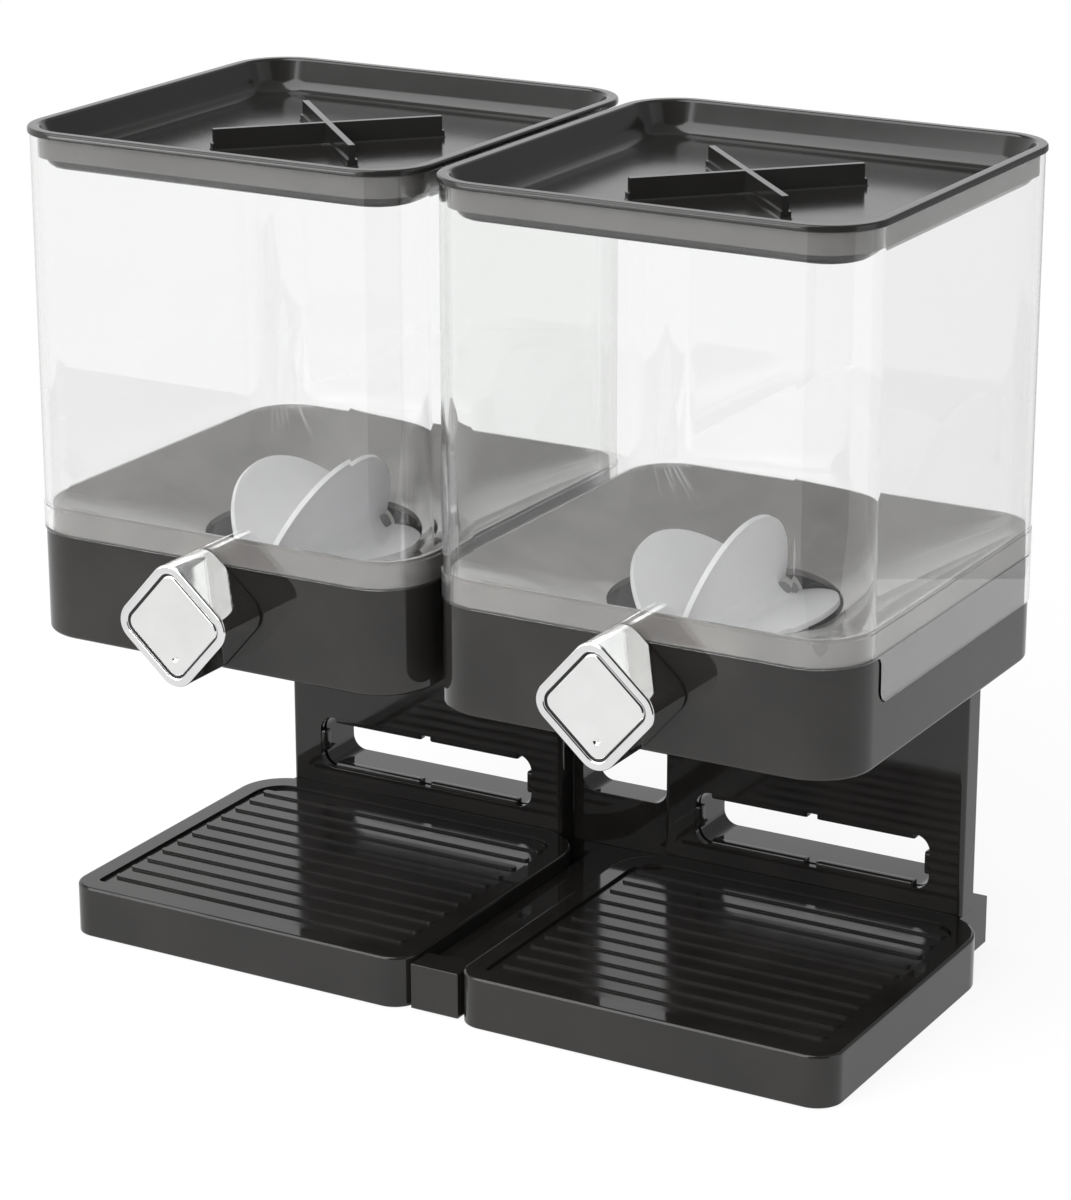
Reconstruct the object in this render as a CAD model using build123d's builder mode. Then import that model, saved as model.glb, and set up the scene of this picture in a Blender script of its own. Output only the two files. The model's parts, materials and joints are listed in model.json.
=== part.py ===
from build123d import *
import os
from math import cos, floor, radians, sin, sqrt, tan

# A free-standing double dispenser for dry food. Lengths are millimetres, angles are degrees.
# +X is to the right, the front faces -Y and +Z is up. Each unit is drawn about its own centre,
# with y = 0 at the middle of the lid, and is then set to the left or right of the object's middle.

# Layout of the two units
lid_width = 165.0
lid_depth = 170.0
lid_corner = 22.0
unit_gap = 5.0
knob_reach = 22.5
stand_overhang = 1.5

# Heights of the stack
foot_height = 20.3
seat_step = 0.8
column_height = 103.3
house_height = 39.3
canister_height = 146.3

# Lid
rim_thick = 2.4
rim_width = 4.2
recess_depth = 12.4
recess_run = 5.2
panel_thick = 2.0
skirt_depth = 8.0
skirt_lip = 3.0
skirt_wall = 1.4
lid_gap = 0.3
grip_length = 85.0
grip_thick = 2.4
grip_height = 7.8
grip_foot_thick = 3.8
grip_foot_height = 2.6
grip_angle = 46.0

# Canister
canister_inset = 0.5
canister_wall = 2.4
band_height = 9.4
band_step = 0.35
tongue_start = 26.0
tongue_drop = 17.0
tongue_wall = 1.6
tongue_round = 5.0
step_round = 3.5

# Housing
house_inset = 0.5
house_wall = 3.6
house_edge = 1.5
house_floor = 2.5
tongue_gap = 0.3
axis_rise = 22.0
bowl_gap = 0.6

# Hopper
collar_height = 9.9
collar_gap = 0.35
collar_wall = 1.8
collar_lip = 4.0
lip_gap = 0.3
floor_border = 1.2
funnel_thick = 2.5
mouth_rise = 10.2
mouth_flat = 0.05
bowl_forward = 10.0
bowl_radius = 43.5
bowl_wall = 2.0
bowl_flange = 6.0
spout_radius = 20.0
spout_drop = 42.3
boss_radius = 9.0
boss_reach = 8.0
post_radius = 4.5
post_inset_x = 24.0
post_inset_y = 34.0

# Wheel, hub, shaft and bushes
vane_count = 6
vane_gap = 1.5
vane_thick = 2.0
web_wall = 1.2
hub_radius = 7.0
hub_length = 64.0
hub_gap = 0.1
wheel_angles = {"left": 68.5, "right": 76.5}
shaft_radius = 4.0
shaft_flat = 1.0
shaft_hole_gap = 0.6
running_gap = 0.05
bush_wall = 3.0
bush_flange = 3.0
bush_flange_thick = 1.5
clip_radius = 7.0
clip_thick = 1.0
clip_groove = 0.8
clip_gap = 0.3
clip_mouth = 5.0

# Knob
knob_side = 36.5
knob_corner = 8.0
knob_turn = 3.5
knob_gap = 1.0
knob_wall = 1.6
knob_rim = 3.2
knob_edge = 0.8
face_recess = 1.4
face_thick = 1.0
face_gap = 0.15
dot_radius = 1.3
dot_depth = 0.6
dot_drop = 12.0
core_gap = 0.15
core_plate = 3.0
core_boss = 8.0
core_rib = 2.4
core_bore = 14.0

# Columns and their covers
column_inset = 20.35
stand_depth = 24.5
column_depth = 11.0
column_wall = 2.5
column_edge = 2.0
spigot_margin = 22.15
spigot_height = 10.0
spigot_inset = 2.0
spigot_gap = 0.3
slot_margin = 13.4
slot_height = 21.5
slot_rise = 8.0
slot_corner = 6.0
bar_inset = 1.0
bar_depth = 3.0
bar_reach = 2.2
bar_corner_gap = 6.5
bar_middle_gap = 4.2
cover_inset = 8.15
cover_edge = 5.0
cover_wall = 2.5
cover_gap = 0.3
sleeve_thick = 2.2

# Feet, trays and rubber pads
foot_setback = 9.6
foot_inset = 7.75
foot_corner = 10.0
foot_rear_corner = 20.0
foot_edge = 1.2
foot_wall = 2.5
foot_rim = 8.0
foot_rear_rim = 9.5
seat_thick = 3.0
seat_cells = 4
tray_recess = 3.2
tray_gap = 0.4
tray_thick = 2.0
rib_width = 3.2
rib_height = 0.9
rib_pitch = 10.1
rib_inset = 2.0
rib_margin = 2.5
pad_radius = 6.0
pad_thick = 2.0
pad_proud = 0.8
pad_inset = 16.0
pad_rear_inset = 12.0
pad_boss_wall = 1.5

# Bridge and panel between the units
bridge_setback = 13.0
bridge_height = 14.5
bridge_gap = 0.3
block_height = 18.4
block_depth = 12.0
tab_length = 20.0
tab_height = 5.0
tab_rise = 4.0
tab_reach = 6.0
tab_spread = 30.0
panel_setback = 10.0
panel_slot_margin = 4.05
panel_slot_height = 20.0
panel_slot_rise = 21.5

# Screws
screw_radius = 1.45
screw_gap = 0.05
screw_head = 2.9
screw_head_thick = 1.6
screw_head_gap = 0.3
screw_grip = 9.0
cover_screw_margin = 17.15
cover_screw_low = 48.0
cover_screw_high = 92.0
screw_boss = 4.5

# Levels and planes that several pieces share
seat_z = foot_height - seat_step
house_low = seat_z + column_height
house_top = house_low + house_height
lid_seat = house_top + canister_height
lid_top = lid_seat + rim_thick
recess_floor = lid_top - recess_depth
band_top = house_top + band_height
tongue_low = house_top - tongue_drop
axis_z = house_low + axis_rise
mouth_z = axis_z + mouth_rise
floor_z = house_top + collar_height
spout_z = axis_z - spout_drop
unit_pitch = lid_width + unit_gap
plan_y = (knob_reach - stand_overhang) / 2
bowl_y = -bowl_forward
front_y = -lid_depth / 2
back_y = lid_depth / 2 + stand_overhang
tongue_y = front_y + tongue_start
column_y = back_y - stand_depth
column_back = column_y + column_depth
foot_front = front_y + foot_setback
foot_back = column_y
foot_y = (foot_front + foot_back) / 2

# Widths that follow the lid
foot_width = lid_width - 2 * foot_inset
column_width = lid_width - 2 * column_inset
cover_width = column_width - 2 * cover_inset
slot_width = column_width - 2 * slot_margin
spigot_width = column_width - 2 * spigot_margin
cover_screw_x = column_width / 2 - cover_screw_margin

# Insets from the lid's outline of the walls that stand inside one another
wall_inset = canister_inset + band_step
inside_inset = wall_inset + canister_wall
house_outer = canister_inset + house_inset
house_inner = house_outer + house_wall
tongue_bed = canister_inset + tongue_wall + tongue_gap
collar_inset = inside_inset + collar_gap
lip_inset = house_inner + lip_gap
collar_inner = lip_inset + collar_wall
house_front = front_y + house_outer
house_front_inside = front_y + house_inner


def slab(inset, low, high, mode=Mode.ADD):
    """A plate with the lid's outline, set in all round, between two heights."""
    with BuildSketch(Plane.XY.offset(low)) as plan:
        RectangleRounded(lid_width - 2 * inset, lid_depth - 2 * inset, lid_corner - inset)
    extrude(plan.sketch, amount=high - low, mode=mode)


def pan(low_inset, low, high_inset, high, mode=Mode.ADD):
    """A sloped pan with the lid's outline, set in by one amount below and another above."""
    with BuildSketch(Plane.XY.offset(low)) as lower:
        RectangleRounded(lid_width - 2 * low_inset, lid_depth - 2 * low_inset, lid_corner - low_inset)
    with BuildSketch(Plane.XY.offset(high)) as upper:
        RectangleRounded(lid_width - 2 * high_inset, lid_depth - 2 * high_inset, lid_corner - high_inset)
    loft([lower.sketch, upper.sketch], mode=mode)


def block(x_span, y_span, z_span, mode=Mode.ADD):
    """A box between two values on each axis."""
    with Locations([(sum(x_span) / 2, sum(y_span) / 2, sum(z_span) / 2)]):
        Box(x_span[1] - x_span[0], y_span[1] - y_span[0], z_span[1] - z_span[0], mode=mode)


def post(radius, x, y, low, high, mode=Mode.ADD):
    """An upright cylinder between two heights."""
    with Locations([(x, y, (low + high) / 2)]):
        Cylinder(radius, high - low, mode=mode)


def rod(radius, x, z, front, back, mode=Mode.ADD):
    """A cylinder that lies along Y."""
    with Locations([Location((x, (front + back) / 2, z), (90, 0, 0))]):
        Cylinder(radius, back - front, mode=mode)


def facing(y, z):
    """A plane across Y whose normal points to the back, with its own y downwards."""
    return Plane(origin=(0, y, z), x_dir=(1, 0, 0), z_dir=(0, 1, 0))


def window(width, height, corner, z, front, back, mode=Mode.ADD):
    """A rounded rectangle seen from the front, run back from one Y to another."""
    with BuildSketch(facing(front, z)) as outline:
        RectangleRounded(width, height, corner)
    extrude(outline.sketch, amount=back - front, mode=mode)


def foot_plan(inset, rear_inset, low, high, mode=Mode.ADD):
    """A plate with the foot's outline, tighter at the front corners than at the rear ones."""
    with BuildSketch(Plane.XY.offset(low)) as plan:
        with Locations((0, foot_front + inset)):
            Rectangle(foot_width - 2 * inset, foot_back - foot_front - inset - rear_inset,
                      align=(Align.CENTER, Align.MIN))
        fillet(plan.vertices().group_by(Axis.Y)[0], foot_corner - inset)
        fillet(plan.vertices().group_by(Axis.Y)[-1], foot_rear_corner - inset)
    extrude(plan.sketch, amount=high - low, mode=mode)


def funnel(inset, high, radius, low, mode=Mode.ADD):
    """A loft from the lid's outline, set in all round, down to a circle: four flats and four cones."""
    with BuildSketch(Plane.XY.offset(low)) as mouth:
        with Locations((0, bowl_y)):
            RectangleRounded(2 * radius, 2 * radius, radius - mouth_flat)
    with BuildSketch(Plane.XY.offset(high)) as top:
        RectangleRounded(lid_width - 2 * inset, lid_depth - 2 * inset, lid_corner - inset)
    loft([mouth.sketch, top.sketch], ruled=True, mode=mode)


# Lid: a flange, a skirt with a free lip and a sloped pan with a cross-shaped grip
with BuildPart() as lid:
    skirt_inset = inside_inset + lid_gap
    skirt_low = lid_seat - skirt_depth
    slab(0, lid_seat, lid_top)
    slab(skirt_inset, skirt_low, lid_seat)
    slab(skirt_inset + skirt_wall, skirt_low, skirt_low + skirt_lip, mode=Mode.SUBTRACT)
    pan_inset = rim_width + recess_run
    pan(pan_inset - panel_thick, recess_floor - panel_thick, skirt_inset, lid_seat)
    pan(pan_inset, recess_floor, rim_width, lid_top, mode=Mode.SUBTRACT)
    for turn in (grip_angle, -grip_angle):
        with Locations(Location((0, 0, recess_floor), (0, 0, turn))):
            Box(grip_length, grip_thick, grip_height, align=(Align.CENTER, Align.CENTER, Align.MIN))
            Box(grip_length, grip_foot_thick, grip_foot_height,
                align=(Align.CENTER, Align.CENTER, Align.MIN))

# Canister: an open clear box with a foot band and a skirt round its sides and back
with BuildPart() as canister:
    slab(canister_inset, tongue_low, band_top)
    slab(wall_inset, band_top, lid_seat)
    slab(canister_inset + tongue_wall, tongue_low, house_top, mode=Mode.SUBTRACT)
    slab(inside_inset, house_top, lid_seat, mode=Mode.SUBTRACT)
    with BuildSketch(Plane.YZ):
        with BuildLine():
            Line((tongue_y, tongue_low + tongue_round), (tongue_y, house_top - step_round))
            CenterArc((tongue_y - step_round, house_top - step_round), step_round, 0, 90)
            Polyline((tongue_y - step_round, house_top), (front_y, house_top), (front_y, tongue_low),
                     (tongue_y + tongue_round, tongue_low))
            CenterArc((tongue_y + tongue_round, tongue_low + tongue_round), tongue_round, 180, 90)
        make_face()
    extrude(amount=lid_width, both=True, mode=Mode.SUBTRACT)

# Housing: a box with a floor, a bed for the canister's skirt and holes for bowl, shaft and column
with BuildPart() as housing:
    slab(house_outer, house_low, house_top)
    fillet(housing.faces().sort_by(Axis.Z)[0].edges(), house_edge)
    slab(house_inner, house_low + house_floor, house_top, mode=Mode.SUBTRACT)
    bed_y = tongue_y - tongue_gap
    bed_z = tongue_low - tongue_gap
    with BuildSketch(Plane.XY.offset(bed_z)):
        Rectangle(lid_width, lid_depth)
        RectangleRounded(lid_width - 2 * tongue_bed, lid_depth - 2 * tongue_bed, lid_corner - tongue_bed,
                         mode=Mode.SUBTRACT)
        with Locations((0, bed_y)):
            Rectangle(lid_width, lid_depth, align=(Align.CENTER, Align.MAX), mode=Mode.SUBTRACT)
    extrude(amount=house_top - bed_z, mode=Mode.SUBTRACT)
    bed_corners = housing.edges().filter_by(Axis.X).filter_by_position(Axis.Y, bed_y - 0.01, bed_y + 0.01)
    fillet(bed_corners.filter_by_position(Axis.Z, bed_z - 0.01, bed_z + 0.01), tongue_round)
    step_edges = housing.edges().filter_by(Axis.X).filter_by_position(Axis.Y, bed_y - 0.01, bed_y + 0.01)
    fillet(step_edges.filter_by_position(Axis.Z, house_top - 0.01, house_top + 0.01), step_round)
    bowl_at_floor = sqrt((bowl_radius + bowl_wall) ** 2 - (axis_rise - house_floor) ** 2)
    post(bowl_at_floor + bowl_gap, 0, bowl_y, house_low, house_low + house_floor, mode=Mode.SUBTRACT)
    bush_radius = shaft_radius + running_gap + bush_wall
    rod(bush_radius + running_gap, 0, axis_z, house_front, house_front_inside, mode=Mode.SUBTRACT)
    socket_x = spigot_width / 2 + spigot_gap
    socket_y = (column_y + spigot_inset - spigot_gap, column_back - spigot_inset + spigot_gap)
    block((-socket_x, socket_x), socket_y, (house_low, house_low + house_floor), mode=Mode.SUBTRACT)
    post_x = lid_width / 2 - post_inset_x
    post_y = lid_depth / 2 - post_inset_y
    with Locations(Plane.XY.offset(house_low)):
        with GridLocations(2 * post_x, 2 * post_y, 2, 2):
            Cylinder(screw_radius + screw_gap, 3 * house_floor, mode=Mode.SUBTRACT)
            Cylinder(screw_head + screw_head_gap, 2 * screw_head_thick, mode=Mode.SUBTRACT)

# Hopper: a collar, a funnel and screw posts that clamp the bowl in the housing
outer_radius = bowl_radius + bowl_wall
mouth_radius = sqrt(bowl_radius**2 - mouth_rise**2)
post_low = house_low + house_floor
bowl_top = mouth_z - funnel_thick
with BuildPart() as hopper:
    slab(collar_inset, house_top, floor_z)
    slab(lip_inset, house_top - collar_lip, house_top)
    slab(collar_inner, house_top - collar_lip, floor_z, mode=Mode.SUBTRACT)
    slab(collar_inner, floor_z - funnel_thick, floor_z)
    funnel(collar_inner, floor_z - funnel_thick, mouth_radius + funnel_thick, bowl_top)
    for x in (-post_x, post_x):
        for y in (-post_y, post_y):
            post(post_radius, x, y, post_low, floor_z)
    split(bisect_by=Plane.XY.offset(floor_z), keep=Keep.BOTTOM)
    funnel(collar_inset + floor_border, floor_z, mouth_radius, mouth_z, mode=Mode.SUBTRACT)
    with Locations((0, bowl_y, axis_z)):
        Sphere(bowl_radius, mode=Mode.SUBTRACT)
    for x in (-post_x, post_x):
        for y in (-post_y, post_y):
            post(screw_radius + screw_gap, x, y, post_low, post_low + 1.5 * screw_grip, mode=Mode.SUBTRACT)

# Bowl: a round shell under the funnel with a seat flange, a spout and two shaft bosses
boss_front = bowl_y - outer_radius - boss_reach
boss_end = bowl_y + outer_radius + boss_reach
with BuildPart() as bowl:
    with Locations((0, bowl_y, axis_z)):
        Sphere(outer_radius)
    post(bowl_at_floor + bowl_gap + bowl_flange, 0, bowl_y, post_low, post_low + funnel_thick)
    post(spout_radius + bowl_wall, 0, bowl_y, spout_z, axis_z)
    rod(boss_radius, 0, axis_z, boss_front, boss_end)
    split(bisect_by=Plane.XY.offset(bowl_top), keep=Keep.BOTTOM)
    with Locations((0, bowl_y, axis_z)):
        Sphere(bowl_radius, mode=Mode.SUBTRACT)
    post(spout_radius, 0, bowl_y, axis_z - 2 * outer_radius, axis_z, mode=Mode.SUBTRACT)
    rod(shaft_radius + shaft_hole_gap, 0, axis_z, boss_front, bowl_y, mode=Mode.SUBTRACT)
    rod(bush_radius + running_gap, 0, axis_z, bowl_y, boss_end, mode=Mode.SUBTRACT)

# Front bush: a sleeve in the housing's front wall with a flange behind it
with BuildPart() as front_bush:
    bush_end = house_front_inside + 2 * bush_flange_thick
    rod(bush_radius, 0, axis_z, house_front, bush_end)
    rod(bush_radius + bush_flange, 0, axis_z, house_front_inside, house_front_inside + bush_flange_thick)
    rod(shaft_radius + running_gap, 0, axis_z, house_front, bush_end, mode=Mode.SUBTRACT)

# Rear bush: a sleeve in the bowl's rear boss
with BuildPart() as rear_bush:
    bush_start = bowl_y + sqrt(bowl_radius**2 - bush_radius**2) + vane_gap
    rod(bush_radius, 0, axis_z, bush_start, boss_end)
    rod(shaft_radius + running_gap, 0, axis_z, bush_start, boss_end, mode=Mode.SUBTRACT)

# Shaft: round in the bushes, with one flat where the knob's core and the wheel's hub sit
knob_front = front_y - knob_reach
knob_back = house_front - knob_gap
web_front = knob_front + face_recess
web_back = web_front + knob_wall
shaft_front = knob_back - core_bore
clip_front = bush_end + clip_gap
hub_front = bowl_y - hub_length / 2
hub_back = bowl_y + hub_length / 2
with BuildPart() as drive_shaft:
    rod(shaft_radius, 0, axis_z, shaft_front, boss_end)
    for flat_front, flat_back in ((shaft_front, knob_back), (hub_front, hub_back)):
        flat_z = axis_z + shaft_radius - shaft_flat
        block((-shaft_radius, shaft_radius), (flat_front, flat_back), (flat_z, flat_z + 2 * shaft_flat),
              mode=Mode.SUBTRACT)
    with BuildSketch(facing(clip_front - clip_gap / 2, axis_z)):
        Circle(shaft_radius + clip_groove)
        Circle(shaft_radius - clip_groove, mode=Mode.SUBTRACT)
    extrude(amount=clip_thick + clip_gap, mode=Mode.SUBTRACT)

# Clip: a split ring in the shaft's groove, just behind the front bush
with BuildPart() as shaft_clip:
    with BuildSketch(facing(clip_front, axis_z)):
        Circle(clip_radius)
        Circle(shaft_radius - clip_groove + running_gap, mode=Mode.SUBTRACT)
        Rectangle(clip_mouth, 2 * clip_radius, align=(Align.CENTER, Align.MIN), mode=Mode.SUBTRACT)
    extrude(amount=clip_thick)

# Hub: a stiff keyed core inside the wheel
with BuildPart() as wheel_hub:
    rod(hub_radius, 0, axis_z, hub_front, hub_back)
    with BuildSketch(facing(hub_front, axis_z)):
        Circle(shaft_radius + running_gap)
        with Locations((0, shaft_flat - shaft_radius - running_gap)):
            Rectangle(3 * shaft_radius, shaft_radius, align=(Align.CENTER, Align.MAX), mode=Mode.SUBTRACT)
    extrude(amount=hub_length, mode=Mode.SUBTRACT)

# Knob shell: a rounded square cup on one corner, open behind, with a raised rim in front
square_turn = 45 - knob_turn
with BuildPart() as knob_shell:
    with BuildSketch(facing(knob_front, axis_z)):
        RectangleRounded(knob_side, knob_side, knob_corner, rotation=square_turn)
    extrude(amount=knob_back - knob_front)
    fillet(knob_shell.faces().sort_by(Axis.Y)[0].edges(), knob_edge)
    with BuildSketch(facing(knob_front, axis_z)):
        rim_side = knob_side - 2 * knob_rim
        RectangleRounded(rim_side, rim_side, knob_corner - knob_rim, rotation=square_turn)
    extrude(amount=face_recess, mode=Mode.SUBTRACT)
    with BuildSketch(facing(web_back, axis_z)):
        cup_side = knob_side - 2 * knob_wall
        RectangleRounded(cup_side, cup_side, knob_corner - knob_wall, rotation=square_turn)
    extrude(amount=knob_back - web_back, mode=Mode.SUBTRACT)

# Knob face: a flat plate in the rim with a small dimple near its lower corner
with BuildPart() as knob_face:
    with BuildSketch(facing(web_front - face_thick, axis_z)):
        face_inset = knob_rim + face_gap
        face_side = knob_side - 2 * face_inset
        RectangleRounded(face_side, face_side, knob_corner - face_inset, rotation=square_turn)
    extrude(amount=face_thick)
    dot_x = dot_drop * sin(radians(knob_turn))
    dot_z = axis_z - dot_drop * cos(radians(knob_turn))
    rod(dot_radius, dot_x, dot_z, web_front - face_thick, web_front - face_thick + dot_depth,
        mode=Mode.SUBTRACT)

# Knob core: a plate, a boss and crossed ribs inside the shell, keyed to the shaft
with BuildPart() as knob_core:
    core_front = web_back + core_gap
    core_inset = knob_wall + core_gap
    core_side = knob_side - 2 * core_inset
    with BuildSketch(facing(knob_back - core_plate, axis_z)):
        RectangleRounded(core_side, core_side, knob_corner - core_inset, rotation=square_turn)
    extrude(amount=core_plate)
    rod(core_boss, 0, axis_z, core_front, knob_back)
    with BuildSketch(facing(core_front, axis_z)):
        Rectangle(core_side, core_rib, rotation=square_turn)
        Rectangle(core_rib, core_side, rotation=square_turn)
    extrude(amount=knob_back - core_front)
    with BuildSketch(facing(shaft_front - running_gap, axis_z)):
        Circle(shaft_radius + running_gap)
        with Locations((0, shaft_flat - shaft_radius - running_gap)):
            Rectangle(3 * shaft_radius, shaft_radius, align=(Align.CENTER, Align.MAX), mode=Mode.SUBTRACT)
    extrude(amount=core_bore + running_gap, mode=Mode.SUBTRACT)

# Column: a front shell with a slot, lip bars behind it, spigots above and below and screw bosses
slot_z = seat_z + slot_rise + slot_height / 2
cover_front = column_back - column_wall
with BuildPart() as column:
    half = column_width / 2
    block((-half, half), (column_y, column_back), (seat_z, house_low))
    fillet(column.edges().filter_by(Axis.Z).group_by(Axis.Y)[0], column_edge)
    inner = half - column_wall
    block((-inner, inner), (column_y + column_wall, column_back),
          (seat_z + column_wall, house_low - column_wall), mode=Mode.SUBTRACT)
    window(slot_width, slot_height, slot_corner, slot_z, column_y, column_y + column_wall,
           mode=Mode.SUBTRACT)
    bar_y = (column_y + bar_inset, column_y + bar_inset + bar_depth)
    bar_x = (bar_middle_gap / 2, slot_width / 2 - bar_corner_gap)
    edge_z = slot_height / 2
    for x_span in (bar_x, (-bar_x[1], -bar_x[0])):
        block(x_span, bar_y, (slot_z - edge_z - bar_reach, slot_z - edge_z + bar_reach))
        block(x_span, bar_y, (slot_z + edge_z - bar_reach, slot_z + edge_z + bar_reach))
    bar_z = (slot_z - edge_z + bar_corner_gap, slot_z + edge_z - bar_corner_gap)
    for x in (-slot_width / 2, slot_width / 2):
        block((x - bar_reach, x + bar_reach), bar_y, bar_z)
    spigot_x = (-spigot_width / 2, spigot_width / 2)
    spigot_y = (column_y + spigot_inset, column_back - spigot_inset)
    block(spigot_x, spigot_y, (house_low, house_low + spigot_height))
    block(spigot_x, spigot_y, (seat_z - spigot_height, seat_z))
    for x in (-cover_screw_x, cover_screw_x):
        for z in (seat_z + cover_screw_low, seat_z + cover_screw_high):
            rod(screw_boss, x, z, column_y + column_wall, cover_front)
            rod(screw_radius + screw_gap, x, z, cover_front - screw_grip / 2, cover_front,
                mode=Mode.SUBTRACT)

# Column cover: a flange inside the column's back, a hollow back and the slot's sleeve
with BuildPart() as column_cover:
    flange_x = column_width / 2 - column_wall - cover_gap
    flange_z = (seat_z + column_wall + cover_gap, house_low - column_wall - cover_gap)
    block((-cover_width / 2, cover_width / 2), (cover_front, back_y),
          (seat_z + cover_gap, house_low - cover_gap))
    fillet(column_cover.edges().filter_by(Axis.Z).group_by(Axis.Y)[-1], cover_edge)
    block((-half, half), (cover_front, column_back), (seat_z, flange_z[0]), mode=Mode.SUBTRACT)
    block((-half, half), (cover_front, column_back), (flange_z[1], house_low), mode=Mode.SUBTRACT)
    block((-flange_x, flange_x), (cover_front, column_back), flange_z)
    hollow_x = cover_width / 2 - cover_wall
    block((-hollow_x, hollow_x), (cover_front, back_y - cover_wall),
          (flange_z[0] + cover_wall, flange_z[1] - cover_wall), mode=Mode.SUBTRACT)
    sleeve_front = bar_y[1] + cover_gap
    window(slot_width + 2 * sleeve_thick, slot_height + 2 * sleeve_thick, slot_corner + sleeve_thick,
           slot_z, sleeve_front, back_y)
    window(slot_width, slot_height, slot_corner, slot_z, sleeve_front, back_y, mode=Mode.SUBTRACT)
    head_seat = column_back + screw_head_thick
    for x in (-cover_screw_x, cover_screw_x):
        for z in (seat_z + cover_screw_low, seat_z + cover_screw_high):
            rod(screw_boss, x, z, cover_front, back_y)
            rod(screw_radius + screw_gap, x, z, cover_front, back_y, mode=Mode.SUBTRACT)
            rod(screw_head + screw_head_gap, x, z, head_seat, back_y, mode=Mode.SUBTRACT)

# Foot: a tray-shaped foot, hollow below, with the column's seat behind it
pad_x = foot_width / 2 - pad_inset
pad_rear_x = column_width / 2 - pad_rear_inset
front_pads = [(-pad_x, foot_front + pad_inset), (pad_x, foot_front + pad_inset)]
rear_pads = [(-pad_rear_x, back_y - pad_rear_inset), (pad_rear_x, back_y - pad_rear_inset)]
tray_bed = foot_height - tray_recess
tab_places = (foot_y - tab_spread, foot_y + tab_spread)
with BuildPart() as foot:
    foot_plan(0, 0, pad_proud, foot_height)
    fillet(foot.faces().sort_by(Axis.Z)[-1].edges(), foot_edge)
    block((-column_width / 2, column_width / 2), (foot_back - 2 * foot_wall, back_y), (pad_proud, seat_z))
    foot_plan(foot_rim, foot_rear_rim, tray_bed, foot_height, mode=Mode.SUBTRACT)
    foot_plan(foot_wall, foot_wall, pad_proud, tray_bed - foot_wall, mode=Mode.SUBTRACT)
    cell_pitch = (column_width - foot_wall) / seat_cells
    cell_depth = back_y - foot_wall - foot_back
    with Locations((0, foot_back + cell_depth / 2, pad_proud)):
        with GridLocations(cell_pitch, cell_depth, seat_cells, 1):
            Box(cell_pitch - foot_wall, cell_depth, seat_z - seat_thick - pad_proud,
                align=(Align.CENTER, Align.CENTER, Align.MIN), mode=Mode.SUBTRACT)
    block((-socket_x, socket_x), socket_y, (seat_z - spigot_height - spigot_gap, seat_z), mode=Mode.SUBTRACT)
    for x, y in front_pads:
        post(pad_radius + pad_boss_wall, x, y, pad_thick, tray_bed - foot_wall)
    for x, y in rear_pads:
        post(pad_radius + pad_boss_wall, x, y, pad_thick, seat_z - seat_thick)
    for y in tab_places:
        block((-foot_width / 2, foot_wall - foot_width / 2),
              (y - tab_length / 2 - bridge_gap, y + tab_length / 2 + bridge_gap),
              (tab_rise - bridge_gap, tab_rise + tab_height + bridge_gap), mode=Mode.SUBTRACT)

# Crumb tray: a loose plate with rounded ribs across it
with BuildPart() as crumb_tray:
    tray_inset = foot_rim + tray_gap
    tray_rear_inset = foot_rear_rim + tray_gap
    tray_top = tray_bed + tray_thick
    foot_plan(tray_inset, tray_rear_inset, tray_bed, tray_top)
    tray_depth = foot_back - foot_front - tray_inset - tray_rear_inset
    rib_count = floor((tray_depth - 2 * rib_margin - rib_width) / rib_pitch) + 1
    with BuildSketch(Plane.XY.offset(tray_top)):
        with Locations((0, foot_front + tray_inset + tray_depth / 2)):
            with GridLocations(1, rib_pitch, 1, rib_count):
                SlotOverall(foot_width - 2 * tray_inset - 2 * rib_inset, rib_width)
    extrude(amount=rib_height)

# Bridge: the strip between the feet, with a raised front block, a wide rear and tabs into the feet
strip_x = (unit_pitch - foot_width) / 2 - bridge_gap
rear_x = (unit_pitch - column_width) / 2 - bridge_gap
bridge_front = front_y + bridge_setback
with BuildPart() as centre_bridge:
    block((-strip_x, strip_x), (bridge_front, back_y), (pad_proud, bridge_height))
    block((-rear_x, rear_x), (foot_back + bridge_gap, back_y), (pad_proud, bridge_height))
    block((-strip_x, strip_x), (bridge_front, bridge_front + block_depth), (pad_proud, block_height))
    hollow_x = strip_x - foot_wall
    block((-hollow_x, hollow_x), (bridge_front + foot_wall, back_y - foot_wall),
          (pad_proud, bridge_height - foot_wall), mode=Mode.SUBTRACT)
    hollow_x = rear_x - foot_wall
    block((-hollow_x, hollow_x), (foot_back + bridge_gap + foot_wall, back_y - foot_wall),
          (pad_proud, bridge_height - foot_wall), mode=Mode.SUBTRACT)
    for y in tab_places:
        tab_span = (y - tab_length / 2, y + tab_length / 2)
        tab_level = (tab_rise, tab_rise + tab_height)
        block((-strip_x - tab_reach, foot_wall - strip_x), tab_span, tab_level)
        block((strip_x - foot_wall, strip_x + tab_reach), tab_span, tab_level)

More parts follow.
